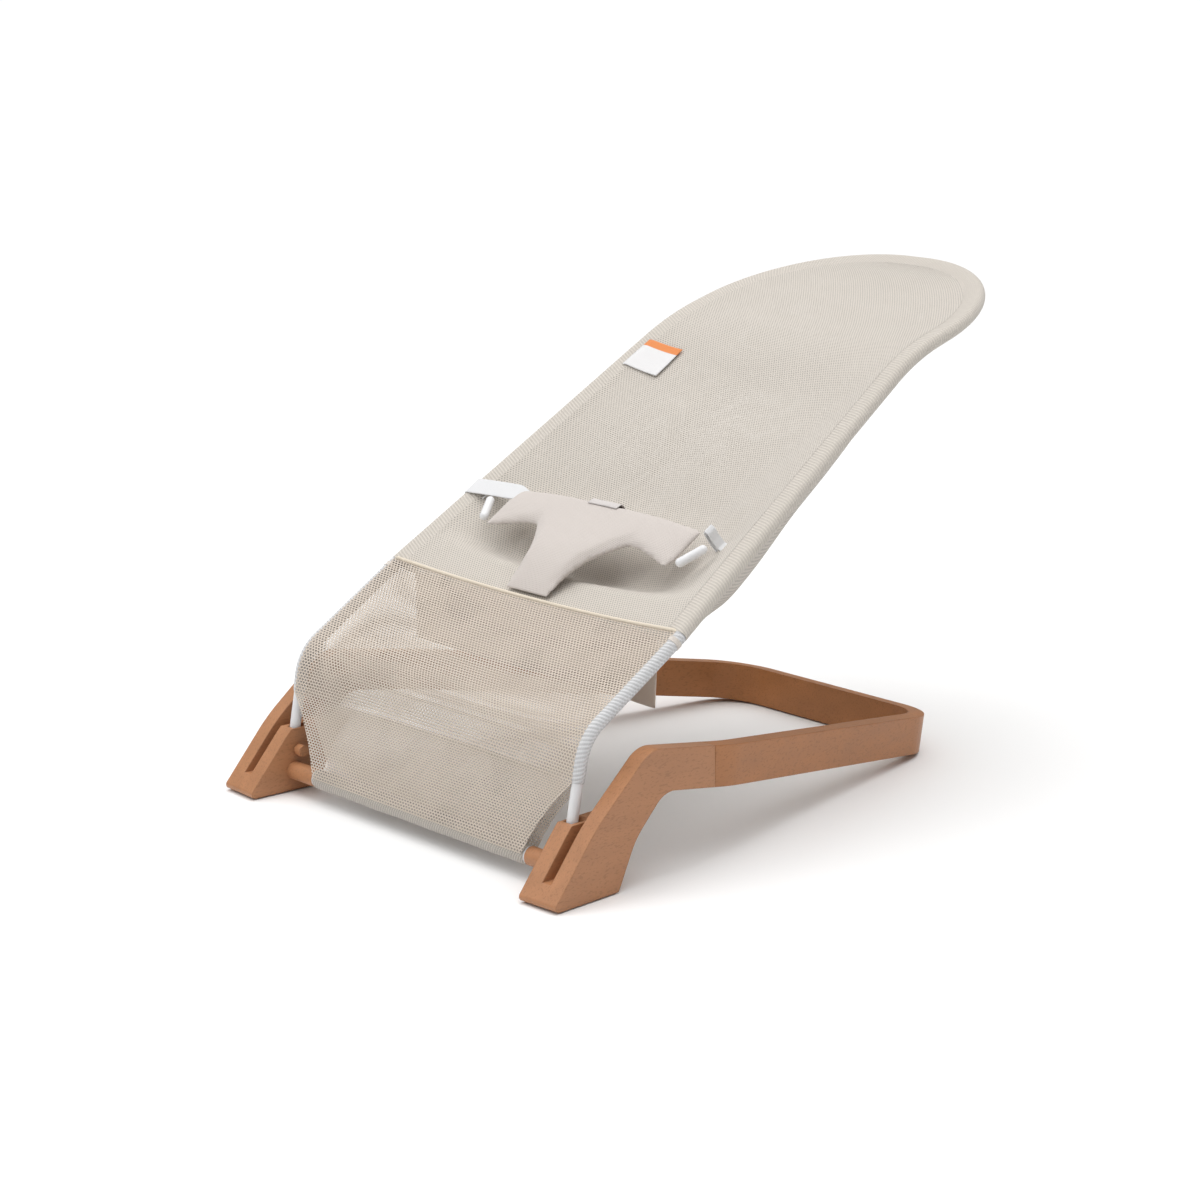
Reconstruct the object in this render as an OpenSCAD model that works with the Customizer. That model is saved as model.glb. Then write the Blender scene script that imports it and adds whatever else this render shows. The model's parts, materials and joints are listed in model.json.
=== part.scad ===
// Baby bouncer seat: beech legs and rear bow, steel seat hoop, mesh sling and harness.
// X runs across the seat, Y from the feet to the head end, Z up from the floor.

/* [Base] */
// Overall width across the two legs at the front
base_w = 460; // [430:2:520]
// Thickness of each leg's outer panel
panel_t = 16.4; // [14:0.2:20]
// Width of the groove between the outer panel and the inner cheek
groove_w = 10; // [6:0.5:14]
// Thickness of each leg's inner cheek
cheek_t = 17; // [16:0.5:22]
// Height of the flat top of the inner cheek
shelf_z = 60; // [54:1:72]
// Depth of the groove behind the front slope
groove_depth = 26; // [16:1:32]
// Angle that each leg turns inwards towards the rear
toe_deg = 2.75; // [0:0.25:3]
// Thickness of the rubber pads under the feet
pad_t = 1.5; // [1:0.1:3]

/* [Rear bow] */
// Distance from the front feet to the joint between leg and bow
joint_y = 198; // [180:1:230]
// Height of the bow strip
bow_h = 37; // [30:1:44]
// Thickness of the bow strip
bow_t = 16; // [13:0.5:16.4]
// Distance from the front feet to the back of the bow
bow_rear_y = 589; // [560:1:640]
// Angle that the bow's arms close in towards the rear
bow_close_deg = 12.5; // [6:0.5:13]
// Outer radius of the bow's rear corners
bow_corner_r = 60; // [40:1:80]
// Slope of the bow down to the floor
bow_slope_deg = 9.78; // [9.5:0.02:10.2]

/* [Seat frame] */
// Outer diameter of the seat tube
tube_d = 10; // [9:0.2:10]
// Wall of the seat tube
tube_wall = 1.2; // [1:0.1:1.5]
// Distance from the cheek's inner face to the middle of each lower tube
tube_in = 4.9; // [4.7:0.1:5.2]
// Angle that the tube's foot leans back from upright
stub_deg = 10.7; // [8:0.1:12]
// Angle of the side rails above the floor
rail_deg = 31.4; // [28:0.2:35]
// Angle of the head end above the floor
head_deg = 16.5; // [10:0.5:24]
// Distance from the front feet to the knee of the tube
knee_y = 71; // [70:0.5:73]
// Distance from the front feet to the flex joint and cross seam
seam_y = 183; // [160:1:190]
// Distance from the front feet to the bend below the head
neck_y = 514; // [480:1:540]
// Half of the hoop's width at the bend below the head
neck_x = 158; // [150:1:176]
// Distance from the front feet to the top of the hoop
head_y = 700; // [684:1:740]
// Radius of the two bends that round the head
head_bend_r = 146; // [120:1:146]
// How far the seat leans back when the clamps are loosened
recline_deg = 12; // [4:1:12]

/* [Crossbar and pivots] */
// Height of the cross shaft that the seat tilts on
pivot_z = 20.5; // [19:0.5:22]
// Distance from the front feet to the cross shaft
pivot_y = 50.5; // [49:0.5:52]
// Outer diameter of the front crossbar
crossbar_d = 16; // [15:0.5:18]
// Length of the front crossbar
crossbar_len = 296; // [260:2:320]
// Diameter of the wooden bosses beside the crossbar
boss_d = 17; // [15:0.5:19]
// Diameter of the wooden clamp knobs
knob_d = 11; // [10:0.5:13]
// Length of the wooden clamp knobs
knob_len = 10; // [8:0.5:16]

/* [Soft parts] */
// Thickness of the sling and front panel
sling_t = 3; // [2:0.5:5]
// Sag of the seat below the rails
sag = 24; // [10:1:40]
// Width of the webbing
webbing_w = 25; // [18:1:30]
// Distance of the waist belt from the cross seam, along the rails
belt_s = 98; // [80:1:120]
// Height of the padded waist belt
belt_h = 46; // [36:1:60]
// Width of the crotch strap
crotch_w = 60; // [40:1:80]

/* [Hidden] */
$fn = 64;

wood = [0.74, 0.52, 0.36];
wood_pale = [0.82, 0.62, 0.45];
white_steel = [0.90, 0.90, 0.90];
plain_steel = [0.62, 0.63, 0.65];
mesh_cloth = [0.85, 0.80, 0.73];
plain_cloth = [0.71, 0.63, 0.58];
white_plastic = [0.93, 0.92, 0.92];
rubber = [0.20, 0.19, 0.19];

leg_t = panel_t + groove_w + cheek_t;
tube_x = base_w / 2 - leg_t + tube_in;    // from the centre line to each lower tube
bore_r = tube_d / 2 - tube_wall;          // inside radius of the seat tube
plug_gap = 0.05;                          // radial clearance of plugs and shafts
shaft_r = 4;                              // cross shaft
eye_r = 8;                                // outside radius of the tube eye
slot_w = tube_d + 0.6;                    // slot in the cheek for the tube
tube_gap = 0.6;                           // clearance before and behind the tube
knob_gap = 0.6;                           // between knob and cheek
stud_r = 2.5;                             // clamp stud
clamp_up = 20;                            // clamp's distance above the cross shaft
soft_gap = 4;                             // between cloth solids and the tubes
ball_r = bore_r - 0.1;                    // flex joint's ball in the hoop's bore
rail_start = 2.2;                         // the hoop starts this far before the flex axis
tube_stop = 5.5;                          // the lower tube stops this far before it
loop_t = 1.6;                             // webbing thickness
loop_r = tube_d / 2 + 5;                  // outside radius of the webbing around the left rail
loop_s = belt_s + 17;                     // middle of the webbing along the rails
tail_gap = 9.6;                           // between the webbing's end and the belt
lap = 1;                                  // straight runs of a tube reach this far over its bends
skin = 0.1;                               // bends are this much thinner on each surface

stub_dir = [0, sin(stub_deg), cos(stub_deg)];
rail_dir = [0, cos(rail_deg), sin(rail_deg)];
rail_up = [0, -sin(rail_deg), cos(rail_deg)];
pivot = [tube_x, pivot_y, pivot_z];
knee = pivot + stub_dir * (knee_y - pivot_y) / sin(stub_deg);
seam = knee + rail_dir * (seam_y - knee_y) / cos(rail_deg);
seam_z = seam.z;
neck = [neck_x, neck_y, seam_z + (neck_y - seam_y) * tan(rail_deg)];
head = [neck_x - 5.5, head_y, neck.z + (head_y - neck_y) * tan(head_deg)];
taper = atan2(tube_x - neck_x, norm(neck - seam));  // how fast the rails close in

// Leg outline: arm top and bottom run parallel to the bow
slope = tan(bow_slope_deg);
bow_run = (bow_rear_y - joint_y) / cos(bow_slope_deg);
joint_z = pad_t + (bow_run - bow_t) * sin(bow_slope_deg);   // underside of the arm at the joint
joint_top = joint_z + bow_h / cos(bow_slope_deg);
apex_y = 117.5;
groove_z = 19.3;                          // lower end of the groove
slope_bend = [52, shelf_z + 3];           // the front slope flattens here
function slope_y(z) = slope_bend.x * (z - pad_t) / (slope_bend.y - pad_t);
toe_r = 4;                                // rounding of the toe
toe_tip = toe_r / tan(atan2(slope_bend.y - pad_t, slope_bend.x) / 2) - toe_r;
mid_y = (head_y + tube_d / 2 + toe_tip * cos(toe_deg) - leg_t * sin(toe_deg)) / 2;
leg_outline = [[0, pad_t, toe_r], [slope_bend.x, slope_bend.y, 180],
               [apex_y, joint_top + slope * (joint_y - apex_y), 30],
               [joint_y, joint_top, 0], [joint_y, joint_z, 0],
               [135, joint_z + slope * (joint_y - 135), 26],
               [99.5, 43.3, 70], [79, pad_t, 3]];

// ---- helpers ----

function unit(v) = v / norm(v);

// Points of the arc that rounds the corner a-b-c with radius r
function corner_arc(a, b, c, r, steps = 12) =
    let (u = unit(a - b), v = unit(c - b), half = acos(u * v) / 2,
         centre = b + unit(u + v) * r / sin(half),
         p = b + u * r / tan(half) - centre, q = b + v * r / tan(half) - centre,
         start = atan2(p.y, p.x), turn = (atan2(q.y, q.x) - start + 540) % 360 - 180)
    [for (i = [0:steps]) centre + r * [cos(start + turn * i / steps), sin(start + turn * i / steps)]];

// Closed outline from corners [x, y, radius]
function rounded(corners) =
    [for (i = [0:len(corners) - 1])
        let (n = len(corners), a = corners[(i + n - 1) % n], b = corners[i], c = corners[(i + 1) % n])
        each b[2] > 0 ? corner_arc([a.x, a.y], [b.x, b.y], [c.x, c.y], b[2]) : [[b.x, b.y]]];

// A corner of an open path moved sideways by d, with its radius changed to match
function moved_corner(path, i, d) =
    let (b = [path[i].x, path[i].y],
         to = i > 0 ? unit(b - [path[i - 1].x, path[i - 1].y]) : unit([path[1].x, path[1].y] - b),
         from = i < len(path) - 1 ? unit([path[i + 1].x, path[i + 1].y] - b) : to,
         n1 = [-to.y, to.x], n2 = [-from.y, from.x], p = b + d * (n1 + n2) / (1 + n1 * n2))
    [p.x, p.y, path[i][2] > 0 ? path[i][2] - d : 0];

module from_front_feet() translate([0, -mid_y, 0]) children();
module mirrored(side) if (side > 0) children(); else mirror([1, 0, 0]) children();
module leg_place() translate([base_w / 2, 0, 0]) rotate([0, 0, toe_deg]) children();
// Side view [y, z] outline carried across X from x0 to x1
module across(x0, x1) translate([x0, 0, 0]) rotate([90, 0, 90]) linear_extrude(x1 - x0) children();
// Z axis laid from a towards b
module along(a, b) {
    d = b - a;
    translate(a) rotate([0, acos(d.z / norm(d)), atan2(d.y, d.x)]) children();
}
module rod(a, b, r) along(a, b) cylinder(h = norm(b - a), r = r);
module ring_2d(r, wall) difference() { circle(r); circle(r - wall); }

// Round tube bent at each inner point of the path with the given centre line radii.
// The straight runs reach a little way over the bends, which are a hair thinner.
module bent_tube(path, radii, r, wall) {
    n = len(path);
    dirs = [for (i = [0:n - 2]) unit(path[i + 1] - path[i])];
    cut = [for (i = [0:n - 1]) i == 0 || i == n - 1 ? 0
            : radii[i - 1] * tan(acos(dirs[i - 1] * dirs[i]) / 2)];
    for (i = [0:n - 2]) {
        a = path[i] + dirs[i] * cut[i];
        b = path[i + 1] - dirs[i] * cut[i + 1];
        from = a - dirs[i] * (i > 0 ? lap : 0);
        to = b + dirs[i] * (i < n - 2 ? lap : 0);
        along(from, to) linear_extrude(norm(to - from)) ring_2d(r, wall);
    }
    for (i = [1:n - 2]) {
        turn = acos(dirs[i - 1] * dirs[i]);
        centre = path[i] + unit(dirs[i] - dirs[i - 1]) * radii[i - 1] / cos(turn / 2);
        axis = unit(cross(dirs[i - 1], dirs[i]));
        start = unit(path[i] - dirs[i - 1] * cut[i] - centre);
        tilt = acos(axis.z);
        swing = atan2(axis.y, axis.x);
        ex = [cos(tilt) * cos(swing), cos(tilt) * sin(swing), -sin(tilt)];
        ey = [-sin(swing), cos(swing), 0];
        translate(centre) rotate([0, tilt, swing]) rotate([0, 0, atan2(start * ey, start * ex)])
            rotate_extrude(angle = turn) translate([radii[i - 1], 0]) ring_2d(r - skin, wall - 2 * skin);
    }
}

// Point on the seat: x across, s along the rails from the seam, n above them
function seat_at(x, s, n) = [x, seam_y, seam_z] + rail_dir * s + rail_up * n;
// Blocks drawn in seat axes: X across, Y along the rails, Z above them
module on_seat() translate([0, seam_y, seam_z]) rotate([rail_deg, 0, 0]) children();
// Half width between the rails' centres at distance s from the seam
function rail_x(s) = tube_x - s * sin(taper) / cos(taper);

// ---- base ----

// Space that the tube and its eye sweep as the seat reclines
module slot_2d() {
    p = [pivot_y, pivot_z];
    front = stub_deg;
    back = stub_deg + recline_deg;
    r = tube_d / 2 + tube_gap;
    near = p + r * [-cos(front), sin(front)];
    far = p + r * [cos(back), -sin(back)];
    polygon([near, near + 90 * [sin(front), cos(front)], far + 90 * [sin(back), cos(back)], far]);
    translate(p) circle(eye_r + 0.7);
}

module leg(side) color(wood) from_front_feet() mirrored(side) difference() {
    leg_place() {
        across(-panel_t, 0) polygon(rounded(leg_outline));
        across(-panel_t - groove_w, -panel_t) difference() {
            intersection() { polygon(rounded(leg_outline)); square([400, shelf_z]); }
            polygon([[-60, groove_z], [slope_y(groove_z) + groove_depth, groove_z],
                     [slope_y(shelf_z) + groove_depth, shelf_z + 1], [-60, shelf_z + 1]]);
        }
        across(-leg_t, -panel_t - groove_w)
            intersection() { polygon(rounded(leg_outline)); square([400, shelf_z]); }
    }
    across(tube_x - slot_w / 2, tube_x + slot_w / 2) slot_2d();
    translate([tube_x - 40, pivot_y, pivot_z]) rotate([0, 90, 0]) cylinder(h = 50, r = shaft_r);
    translate([tube_x - 40, clamp_y, clamp_z]) rotate([0, 90, 0]) cylinder(h = 40, r = stud_r + plug_gap);
    leg_place() mortise(0.1);
    leg_place() screw_shafts(0.05);
}
clamp_y = pivot_y + clamp_up * sin(stub_deg);
clamp_z = pivot_z + clamp_up * cos(stub_deg);

// Tongue that joins the bow's arm to the leg, with clearance c
module mortise(c) translate([-panel_t / 2 - 3 - c, joint_y - 20 - c, joint_z + bow_h / 2 - 8 - c])
    cube([6 + 2 * c, 24, 20 + 2 * c]);

// Two countersunk screws through panel and tongue, from the inside
module screw_shafts(c) for (dz = [-5, 7])
    translate([-panel_t, joint_y - 10, joint_z + bow_h / 2 + dz]) rotate([0, 90, 0]) {
        cylinder(h = 12, r = 1.8 + c);
        cylinder(h = 2.4, r1 = 3.8 + c, r2 = 1.8 + c);
    }

module left_leg() leg(-1);
module right_leg() leg(1);

half_joint = base_w / 2 - joint_y * sin(toe_deg);
joint_place_y = joint_y * cos(toe_deg);
arm_start = 20;                           // straight run before the arm turns inwards
bow_rear_x = half_joint - arm_start * tan(toe_deg) - (bow_run - arm_start) * tan(bow_close_deg);
bow_path = [[half_joint + 30 * tan(toe_deg), -30, 0], [half_joint - arm_start * tan(toe_deg), arm_start, 150],
            [bow_rear_x, bow_run, bow_corner_r], [-bow_rear_x, bow_run, bow_corner_r],
            [-half_joint + arm_start * tan(toe_deg), arm_start, 150],
            [-half_joint - 30 * tan(toe_deg), -30, 0]];
// Outer face first, then the inner face in reverse
bow_inner = [for (i = [len(bow_path) - 1:-1:0]) moved_corner(bow_path, i, bow_t)];

module rear_bow() color(wood) from_front_feet() difference() {
    union() {
        difference() {
            translate([0, joint_place_y, joint_z]) rotate([-bow_slope_deg, 0, 0])
                linear_extrude(bow_h) polygon(rounded(concat(bow_path, bow_inner)));
            for (s = [1, -1]) mirrored(s) leg_place()
                translate([-120, joint_y - 80, 0]) cube([160, 80, 200]);
            translate([-300, 0, pad_t - 60]) cube([600, 800, 60]);
        }
        for (s = [1, -1]) mirrored(s) leg_place() mortise(0);
    }
    for (s = [1, -1]) mirrored(s) leg_place() screw_shafts(0.05);
}

pad_inset = 4;                            // pad's edge behind the leg's sides
pad_from = 11;                            // pad's front edge behind the leg's toe
pad_len = 58;
module foot_pad(side) color(rubber) from_front_feet() mirrored(side) leg_place()
    translate([pad_inset - leg_t, pad_from, 0]) cube([leg_t - 2 * pad_inset, pad_len, pad_t]);
module left_foot_pad() foot_pad(-1);
module right_foot_pad() foot_pad(1);

rear_pad_y = joint_place_y + (bow_run - bow_t / 2) * cos(bow_slope_deg) + 0.5;
module rear_pads() color(rubber) from_front_feet() for (s = [-1, 1])
    translate([s * 60 - 15, rear_pad_y - 5, 0]) cube([30, 10, pad_t]);

module joint_screws() color(plain_steel) from_front_feet()
    for (s = [1, -1]) mirrored(s) leg_place() screw_shafts(0);

// ---- crossbar and pivots ----

shaft_half = tube_x + slot_w / 2 + 3.5;
module cross_shaft() color(plain_steel) from_front_feet()
    translate([-shaft_half, pivot_y, pivot_z]) rotate([0, 90, 0]) cylinder(h = 2 * shaft_half, r = shaft_r);

module crossbar() color(white_steel) from_front_feet()
    translate([-crossbar_len / 2, pivot_y, pivot_z]) rotate([0, 90, 0])
        linear_extrude(crossbar_len) ring_2d(crossbar_d / 2, 1.5);

// Wooden boss: a spigot in the crossbar, a shoulder, and an end cut to the cheek's face
module boss(side) color(wood_pale) from_front_feet() mirrored(side) difference() {
    union() {
        translate([crossbar_len / 2, pivot_y, pivot_z]) rotate([0, 90, 0])
            cylinder(h = (base_w - crossbar_len) / 2, r = boss_d / 2);
        translate([crossbar_len / 2 - 12, pivot_y, pivot_z]) rotate([0, 90, 0])
            cylinder(h = 13, r = crossbar_d / 2 - 1.5 - plug_gap);
    }
    leg_place() translate([-leg_t, -50, -50]) cube([200, 200, 200]);
    translate([0, pivot_y, pivot_z]) rotate([0, 90, 0]) cylinder(h = 300, r = shaft_r);
}
module left_boss() boss(-1);
module right_boss() boss(1);

// Eye that turns on the shaft, with a stem that plugs into the tube
module tube_eye(side) color(plain_steel) from_front_feet() mirrored(side) difference() {
    union() {
        translate(pivot - [slot_w / 2 - 0.5, 0, 0]) rotate([0, 90, 0]) cylinder(h = slot_w - 1, r = eye_r);
        rod(pivot, pivot + stub_dir * 44, bore_r - plug_gap);
    }
    translate(pivot - [20, 0, 0]) rotate([0, 90, 0]) cylinder(h = 40, r = shaft_r + plug_gap);
}
module left_tube_eye() tube_eye(-1);
module right_tube_eye() tube_eye(1);

module lower_tube(side) color(white_steel) from_front_feet() mirrored(side)
    bent_tube([pivot + stub_dir * (eye_r + 2.5), knee, seam - rail_dir * tube_stop], [45],
              tube_d / 2, tube_wall);
module left_lower_tube() lower_tube(-1);
module right_lower_tube() lower_tube(1);

// Plug in the lower tube, a thin neck, and a ball on the flex axis inside the hoop's end
module flex_joint(side) color(plain_steel) from_front_feet() mirrored(side) {
    translate(seam) sphere(r = ball_r);
    rod(seam - rail_dir * (tube_stop + 1), seam, 2.2);
    rod(seam - rail_dir * (tube_stop + 24), seam - rail_dir * tube_stop, bore_r - plug_gap);
}
module left_flex_joint() flex_joint(-1);
module right_flex_joint() flex_joint(1);

module flex_collars() color(rubber) from_front_feet() for (s = [1, -1]) mirrored(s)
    along(seam - rail_dir * (tube_stop + 6), seam) linear_extrude(5) ring_2d(tube_d / 2 + 1.6, 1.5);

clamp_x = base_w / 2 - leg_t * cos(toe_deg) - clamp_y * sin(toe_deg);   // cheek's face at the clamp
module clamp_knob(side) color(wood_pale) from_front_feet() mirrored(side)
    translate([clamp_x - knob_gap - knob_len, clamp_y, clamp_z]) rotate([0, 90, 0]) difference() {
        union() {
            cylinder(h = knob_len - 1.5, r = knob_d / 2);
            translate([0, 0, knob_len - 1.5]) cylinder(h = 1.5, r1 = knob_d / 2, r2 = knob_d / 2 - 1);
        }
        translate([0, 0, 3]) cylinder(h = knob_len, r = stud_r);
    }
module left_clamp_knob() clamp_knob(-1);
module right_clamp_knob() clamp_knob(1);

module clamp_stud(side) color(plain_steel) from_front_feet() mirrored(side)
    translate([clamp_x - knob_gap - knob_len + 3, clamp_y, clamp_z]) rotate([0, 90, 0])
        cylinder(h = tube_x - tube_d / 2 - 0.1 - (clamp_x - knob_gap - knob_len + 3), r = stud_r);
module left_clamp_stud() clamp_stud(-1);
module right_clamp_stud() clamp_stud(1);

// ---- seat ----

module seat_hoop() color(white_steel) from_front_feet() {
    flip = [[-1, 0, 0], [0, 1, 0], [0, 0, 1]];
    start = seam - unit(neck - seam) * rail_start;
    bent_tube([start, neck, head, flip * head, flip * neck, flip * start],
              [260, head_bend_r, head_bend_r, 260], tube_d / 2, tube_wall);
}

// Side view of the sling: below the rails by the sag, then up to the head
module sling_side() {
    low = seat_at(0, 150, -sag);
    deep = seat_at(0, 260, -sag + 4);
    top = [[seam_y + 10, seam_z + 3], [low.y, low.z], [deep.y, deep.z], [neck.y, neck.z - 10],
           [head_y - 14, head.z - 14 * tan(head_deg)]];
    polygon(concat(top, [for (i = [4:-1:0]) top[i] - [0, sling_t]]));
}
module sling() color(mesh_cloth) from_front_feet() intersection() {
    inset = tube_d / 2 + soft_gap;
    linear_extrude(800) polygon(rounded([
        [tube_x - inset, seam_y, 0], [neck_x - inset, neck_y, 0],
        [head.x - inset, head_y - inset, head_bend_r - inset],
        [inset - head.x, head_y - inset, head_bend_r - inset],
        [inset - neck_x, neck_y, 0], [inset - tube_x, seam_y, 0]]));
    across(-tube_x, tube_x) sling_side();
}

hem_r = crossbar_d / 2 + 2.2;
// Front panel: down the rails, over the knee and down to the hem on the crossbar
module front_panel() color(mesh_cloth) from_front_feet() intersection() {
    across(-tube_x, tube_x) {
        top = [[seam_y - 8, seam_z - 8 * tan(rail_deg)], [knee_y + 26, knee.z + 15], [knee_y + 6, knee.z - 2],
               [knee_y - 6, knee.z - 24], [pivot_y - hem_r + 2, pivot_z + hem_r + 2]];
        polygon(concat(top, [for (i = [4:-1:0]) top[i] + [sling_t, i < 2 ? -sling_t : -1]]));
    }
    wide = tube_x - tube_d / 2 - 2;
    low = crossbar_len / 2 - 2;
    rotate([90, 0, 0]) translate([0, 0, -400]) linear_extrude(400)
        polygon([[-low, 0], [low, 0], [wide - 16, 60], [wide, 94], [wide, 400],
                 [-wide, 400], [-wide, 94], [16 - wide, 60]]);
}

module hem_sleeve() color(mesh_cloth) from_front_feet()
    translate([2 - crossbar_len / 2, pivot_y, pivot_z]) rotate([0, 90, 0])
        linear_extrude(crossbar_len - 4) ring_2d(hem_r, 1.9);

module seam_binding() color(wood_pale) from_front_feet()
    translate([-tube_x + 10, seam_y, seam_z]) rotate([0, 90, 0]) cylinder(h = 2 * tube_x - 20, r = 1.5);

module under_flap() color(plain_cloth) from_front_feet()
    translate([-164, seam_y - 1, seam_z - 69]) cube([328, 1.6, 60]);

// Flat webbing around a rail, with a tail towards the belt. It lies over the cloth on the left and
// under it on the right.
module belt_loop(side, r, tail_n) color(white_plastic) from_front_feet() mirrored(side) on_seat() {
    tail_len = rail_x(loop_s) - belt_half - tail_gap;
    translate([rail_x(loop_s - webbing_w / 2), loop_s - webbing_w / 2, 0]) rotate([0, 0, taper])
        rotate([-90, 0, 0]) linear_extrude(webbing_w) {
            ring_2d(r, loop_t);
            translate([-tail_len, -tail_n - loop_t]) square([tail_len, loop_t]);
        }
}
module left_belt_loop() belt_loop(-1, loop_r, loop_r - loop_t);
module right_belt_loop() belt_loop(1, tube_d / 2 + 2, -tube_d / 2 - 2);

module care_label() color(white_plastic) from_front_feet() on_seat()
    translate([-rail_x(330) + 12, 308, 6]) rotate([0, 0, -taper]) cube([46, 44, 1]);

// ---- harness ----

pad_n = 4;                                // underside of the belt above the rails
belt_t = 9;                               // thickness of the waist belt
belt_half = 124;                          // half of its length
toggle_r = 4.2;
toggle_len = 23;                          // between the centres of its round ends
toggle_turn = 28;                         // its angle from the rails' direction
module waist_pad() color(mesh_cloth) from_front_feet() on_seat()
    translate([-belt_half, belt_s - belt_h / 2, pad_n]) cube([2 * belt_half, belt_h, belt_t]);

module crotch_strap() color(mesh_cloth) from_front_feet() on_seat()
    translate([-crotch_w / 2, 3, pad_n]) cube([crotch_w, belt_s - belt_h / 2 - 3.5, 5]);

module toggle(side) color(white_plastic) from_front_feet() mirrored(side) on_seat()
    translate([belt_half + 8, belt_s - 25, pad_n + belt_t / 2]) rotate([-90, 0, -toggle_turn]) {
        cylinder(h = toggle_len, r = toggle_r);
        sphere(r = toggle_r);
        translate([0, 0, toggle_len]) sphere(r = toggle_r);
    }
module left_toggle() toggle(-1);
module right_toggle() toggle(1);

module belt_tag() color(plain_cloth) from_front_feet() on_seat()
    translate([-20, belt_s + belt_h / 2 - 6, pad_n + belt_t + 0.1]) cube([40, 6, 0.6]);

left_leg();
right_leg();
rear_bow();
left_foot_pad();
right_foot_pad();
rear_pads();
joint_screws();
cross_shaft();
crossbar();
left_boss();
right_boss();
left_tube_eye();
right_tube_eye();
left_lower_tube();
right_lower_tube();
left_flex_joint();
right_flex_joint();
flex_collars();
left_clamp_knob();
right_clamp_knob();
left_clamp_stud();
right_clamp_stud();
seat_hoop();
sling();
front_panel();
hem_sleeve();
seam_binding();
under_flap();
left_belt_loop();
right_belt_loop();
care_label();
waist_pad();
crotch_strap();
left_toggle();
right_toggle();
belt_tag();
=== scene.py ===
"""Cloth cover, harness, webbing and finishes of a baby bouncer seat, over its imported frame."""

import json
import math

import bmesh
import bpy
import numpy as np
from bpy.props import FloatProperty, FloatVectorProperty, PointerProperty
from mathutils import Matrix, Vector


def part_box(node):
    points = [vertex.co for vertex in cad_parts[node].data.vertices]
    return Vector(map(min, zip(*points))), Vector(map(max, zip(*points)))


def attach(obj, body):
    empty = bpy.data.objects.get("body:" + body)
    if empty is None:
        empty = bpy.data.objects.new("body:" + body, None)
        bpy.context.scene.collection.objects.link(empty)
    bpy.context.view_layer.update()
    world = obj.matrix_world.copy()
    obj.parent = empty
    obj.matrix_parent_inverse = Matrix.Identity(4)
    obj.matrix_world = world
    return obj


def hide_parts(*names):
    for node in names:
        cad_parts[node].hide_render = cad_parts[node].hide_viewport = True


bl_info = {
    "name": "Baby Bouncer Seat",
    "version": (1, 0, 0),
    "blender": (4, 5, 0),
    "location": "View3D > Sidebar > Bouncer",
    "description": "Mesh cover, padded harness, webbing and finishes of a baby bouncer seat",
    "category": "Object",
}

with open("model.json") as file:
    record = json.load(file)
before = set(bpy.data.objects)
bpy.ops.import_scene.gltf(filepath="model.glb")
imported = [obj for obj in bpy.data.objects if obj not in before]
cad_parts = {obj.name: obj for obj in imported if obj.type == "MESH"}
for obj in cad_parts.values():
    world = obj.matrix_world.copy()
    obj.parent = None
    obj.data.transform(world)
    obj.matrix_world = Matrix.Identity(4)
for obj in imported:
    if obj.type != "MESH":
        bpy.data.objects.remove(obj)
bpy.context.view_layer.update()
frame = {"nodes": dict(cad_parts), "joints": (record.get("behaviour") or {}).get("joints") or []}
MM = 0.001


def joint_at(name):
    """Place of a joint's axis, in metres."""
    return np.array(next(j["pos_m"] for j in frame["joints"] if j["name"] == name), float)


def corners_of(node):
    """Lowest and highest corner of a CAD node as arrays."""
    low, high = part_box(node)
    return np.array(low), np.array(high)


PIVOT = joint_at("seat_recline")
SEAM = joint_at("seat_bounce")
TUBE_LOW, TUBE_HIGH = corners_of("right_lower_tube")
TUBE_R = (TUBE_HIGH[0] - TUBE_LOW[0]) / 2
TUBE_X = (TUBE_HIGH[0] + TUBE_LOW[0]) / 2
_, HOOP_HIGH = corners_of("seat_hoop")
HEM_LOW, HEM_HIGH = corners_of("hem_sleeve")
FLAP_LOW, FLAP_HIGH = corners_of("under_flap")

FOOT_LEAN = math.radians(10.7)  # the tube's foot leans back from upright
RAIL_TILT = math.radians(31.4)  # side rails above the floor
HEAD_TILT = math.radians(16.5)  # head end above the floor
NECK_RUN = 331 * MM  # from the seam to the bend below the head, along Y
NECK_X = 158 * MM
HEAD_X = 152.5 * MM
KNEE_R, NECK_R, HEAD_R = 45 * MM, 260 * MM, 146 * MM
SLEEVE_R = 6.2 * MM  # cloth around the tube
STRIP = 14 * MM  # flat strip that joins the sleeve to the cover
SLEEVE_END_Z = 92 * MM  # lower end of the sleeves above the floor
SEAM_SAG = 8.8 * MM  # sag of the cross seam in its middle
SAG_POWER = 2.2  # a layer sags as 1 - |w| ** SAG_POWER across the seat
BELLY_POWER = 7  # the same for the under layer, which drops steeply beside the rails
LABEL_HEIGHT = 40 * MM
LABEL_BAND = 31 * MM  # the coloured band starts this far up the label
STRAP_LEAN = 13 * MM  # the strap's foot is this far left of the middle
RAIL_ALONG = np.array([0, math.cos(RAIL_TILT), math.sin(RAIL_TILT)])
RAIL_UP = np.array([0, -math.sin(RAIL_TILT), math.cos(RAIL_TILT)])


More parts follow.
